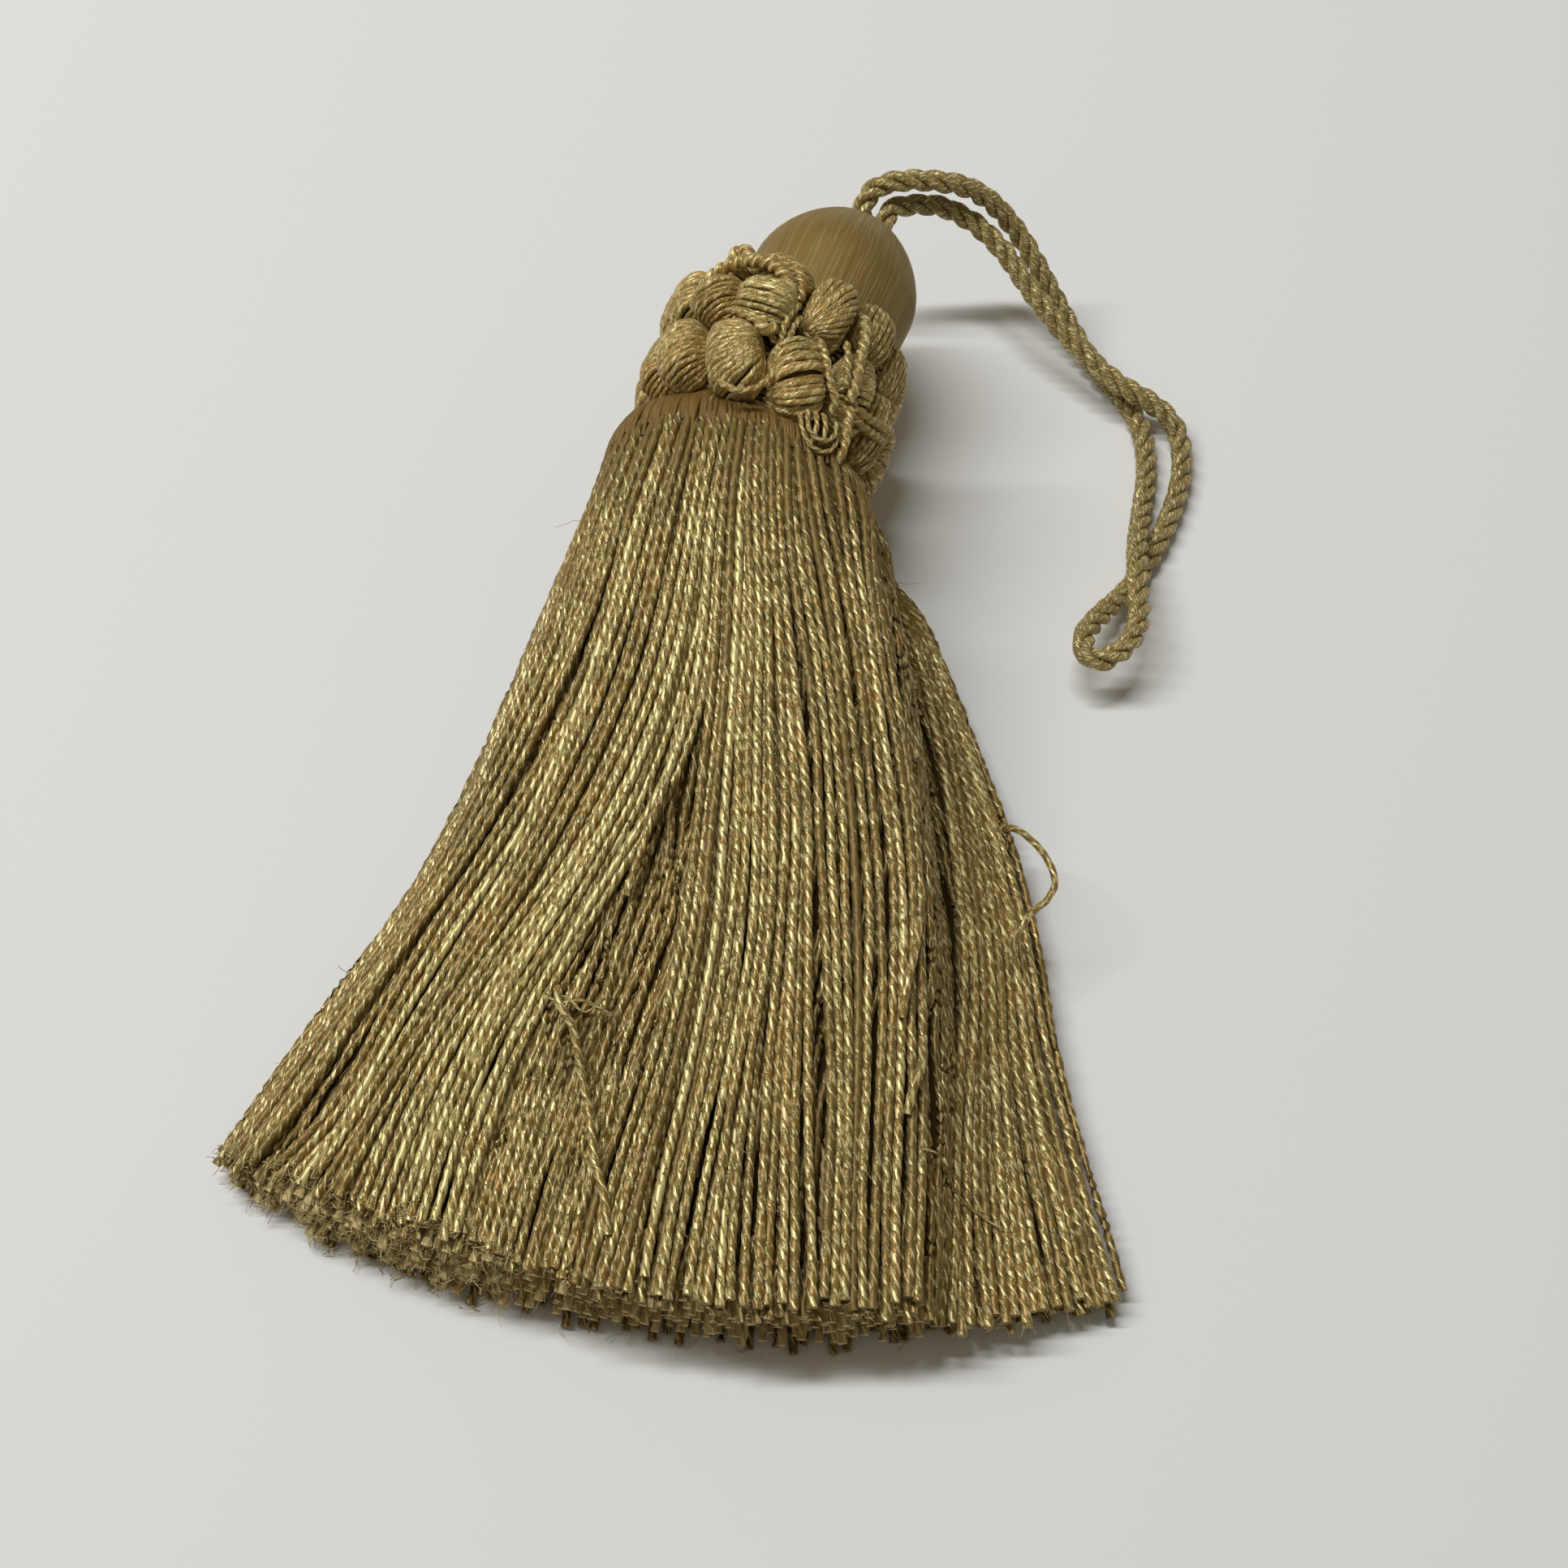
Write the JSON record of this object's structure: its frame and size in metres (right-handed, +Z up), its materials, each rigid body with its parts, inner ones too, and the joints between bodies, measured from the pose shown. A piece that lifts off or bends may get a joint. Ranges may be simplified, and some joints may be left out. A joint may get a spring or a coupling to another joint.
{
  "type": "silk tassel",
  "caption": "Silk tassel lying on its side: satin-wrapped domed head with a ruff of thread-wound lobes, a fanned skirt of twisted yarn and a plied cord loop to hang it by.",
  "frame": {"origin": "on the surface that the tassel lies on, under the middle of the box round the head, ruff and skirt without the cord", "axes": "-Y towards the skirt's cut end, +Y towards the head, +X to the side that the cord loop lies on, +Z up from the surface"},
  "size_m": [0.0826, 0.1059, 0.0266],
  "materials": {
    "silk_satin_wrap": "antique gold-brown silk thread wrapped close and smooth over a turned core, satin",
    "silk_yarn": "antique gold plied silk yarn, glossy along each strand",
    "silk_cord": "antique gold plied cord, soft sheen",
    "silk_wound": "antique gold silk thread wound over padded lobes, satin"
  },
  "bodies": {
    "root": {"head": "silk_satin_wrap", "skirt": "silk_yarn", "loop_cord": "silk_cord", "ruff_lobe_01": "silk_wound", "ruff_lobe_02": "silk_wound", "ruff_lobe_03": "silk_wound", "ruff_lobe_04": "silk_wound", "ruff_lobe_05": "silk_wound", "ruff_lobe_06": "silk_wound", "ruff_lobe_07": "silk_wound", "ruff_lobe_08": "silk_wound", "ruff_lobe_09": "silk_wound", "ruff_lobe_10": "silk_wound", "ruff_lobe_11": "silk_wound", "ruff_lobe_12": "silk_wound", "ruff_lobe_13": "silk_wound", "ruff_lobe_14": "silk_wound", "ruff_lobe_15": "silk_wound", "ruff_lobe_16": "silk_wound", "ruff_lobe_17": "silk_wound", "ruff_lobe_18": "silk_wound", "ruff_lobe_19": "silk_wound", "ruff_lobe_20": "silk_wound", "ruff_lobe_21": "silk_wound", "ruff_lobe_22": "silk_wound", "ruff_lobe_23": "silk_wound", "ruff_lobe_24": "silk_wound", "ruff_lobe_25": "silk_wound", "ruff_lobe_26": "silk_wound", "ruff_lobe_27": "silk_wound", "ruff_lobe_28": "silk_wound", "ruff_lobe_29": "silk_wound"}
  },
  "joints": []
}
